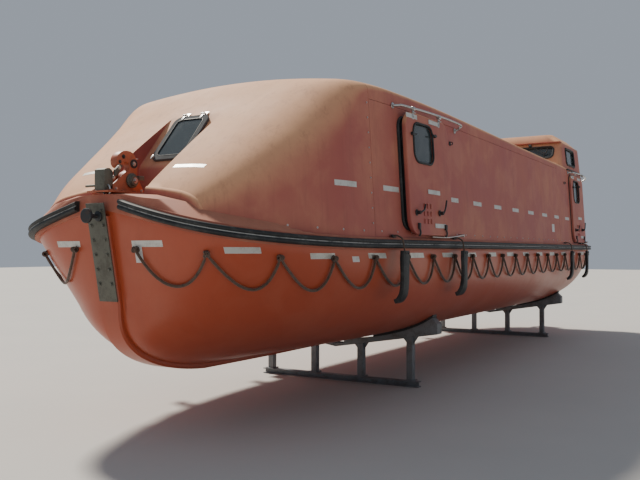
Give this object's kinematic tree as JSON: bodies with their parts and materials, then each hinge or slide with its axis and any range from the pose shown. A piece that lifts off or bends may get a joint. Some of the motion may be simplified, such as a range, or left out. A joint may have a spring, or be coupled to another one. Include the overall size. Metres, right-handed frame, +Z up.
{
  "type": "totally enclosed lifeboat",
  "caption": "Totally enclosed ship's lifeboat on its storage cradle, with side doors on guide rods, a raised steering tower, release hooks fore and aft, grab lines and strap fenders.",
  "frame": {"origin": "on the ground, at the bottom centre of the whole part's box, cradle included", "axes": "+X along the keel towards the bow, +Y to port, +Z up"},
  "size_m": [12.5071, 3.544, 3.8373],
  "materials": {
    "hull_orange": "orange-red gelcoat, semi-gloss, scuffed and chalked in places",
    "deck_orange": "orange gelcoat, weathered",
    "canopy_orange": "faded, chalky orange-red gelcoat, bleached on top",
    "black_rubber": "black rubber, dusty",
    "rope": "weathered three-strand rope",
    "plate_steel": "grey-olive weathered steel",
    "dark_steel": "dark painted steel, dull",
    "hook_orange": "orange paint on cast steel, worn",
    "tinted_glass": "dark tinted glazing",
    "bronze": "cast bronze, tarnished",
    "cradle_steel": "grey galvanised steel, dull",
    "engine_grey": "grey-green painted iron",
    "liner_white": "off-white moulded liner"
  },
  "bodies": {
    "boat": {"hull": "hull_orange", "deck": "deck_orange", "keel": "hull_orange", "fender_port": "black_rubber", "fender_starboard": "black_rubber", "canopy_bow": "canopy_orange", "canopy_side_port": "canopy_orange", "canopy_side_starboard": "canopy_orange", "canopy_roof": "canopy_orange", "canopy_stern": "canopy_orange", "tower": "canopy_orange", "tower_window_front": "tinted_glass", "tower_window_aft": "tinted_glass", "tower_window_port": "tinted_glass", "tower_window_starboard": "tinted_glass", "bow_hook_bracket": "dark_steel", "stern_hook_bracket": "dark_steel", "stem_plate": "plate_steel", "stern_plate": "plate_steel", "door_forward_port": "canopy_orange", "door_window_forward_port": "tinted_glass", "door_rail_forward_port": "dark_steel", "door_forward_starboard": "canopy_orange", "door_window_forward_starboard": "tinted_glass", "door_rail_forward_starboard": "dark_steel", "door_aft_port": "canopy_orange", "door_window_aft_port": "tinted_glass", "door_rail_aft_port": "dark_steel", "door_aft_starboard": "canopy_orange", "door_window_aft_starboard": "tinted_glass", "door_rail_aft_starboard": "dark_steel", "grab_line_port": "rope", "grab_line_starboard": "rope", "strap_fender_port_1": "black_rubber", "strap_fender_port_2": "black_rubber", "strap_fender_port_3": "black_rubber", "strap_fender_port_4": "black_rubber", "strap_fender_starboard_1": "black_rubber", "strap_fender_starboard_2": "black_rubber", "strap_fender_starboard_3": "black_rubber", "strap_fender_starboard_4": "black_rubber", "engine": "engine_grey", "helm": "liner_white", "bench": "liner_white", "cradle_forward": "cradle_steel", "cradle_aft": "cradle_steel", "pad_forward_port": "black_rubber", "pad_forward_starboard": "black_rubber", "pad_aft_port": "black_rubber", "pad_aft_starboard": "black_rubber"},
    "propeller": {"propeller": "bronze"},
    "rudder": {"rudder": "hull_orange"},
    "bow_hatch": {"bow_hatch": "dark_steel", "bow_hatch_window": "tinted_glass"},
    "stern_hatch": {"stern_hatch": "dark_steel", "stern_hatch_window": "tinted_glass"},
    "tower_hatch": {"tower_hatch": "canopy_orange"},
    "bow_hook": {"bow_hook": "hook_orange"},
    "stern_hook": {"stern_hook": "hook_orange"}
  },
  "joints": [
    {"name": "propeller_spin", "type": "hinge", "parent": "boat", "child": "propeller", "pos_m": [-5.67, 0, 0.79], "axis": [1, 0, 0], "continuous": true},
    {"name": "rudder_turn", "type": "hinge", "parent": "boat", "child": "rudder", "pos_m": [-5.95, 0, 0.8], "axis": [0, 0, 1], "range_deg": [-35, 35]},
    {"name": "bow_hatch_hinge", "type": "hinge", "parent": "boat", "child": "bow_hatch", "pos_m": [4.91791, 0, 2.88637], "axis": [0, -1, 0], "range_deg": [0, 110]},
    {"name": "stern_hatch_hinge", "type": "hinge", "parent": "boat", "child": "stern_hatch", "pos_m": [-5.42499, 0, 2.90074], "axis": [0, 1, 0], "range_deg": [0, 110]},
    {"name": "tower_hatch_hinge", "type": "hinge", "parent": "boat", "child": "tower_hatch", "pos_m": [-4.268, 0, 3.7813], "axis": [0, 1, 0], "range_deg": [0, 110]},
    {"name": "bow_hook_release", "type": "hinge", "parent": "boat", "child": "bow_hook", "pos_m": [5.79, 0, 2.19], "axis": [0, -1, 0], "range_deg": [0, 70]},
    {"name": "stern_hook_release", "type": "hinge", "parent": "boat", "child": "stern_hook", "pos_m": [-5.91, 0, 2.19], "axis": [0, 1, 0], "range_deg": [0, 70]}
  ]
}
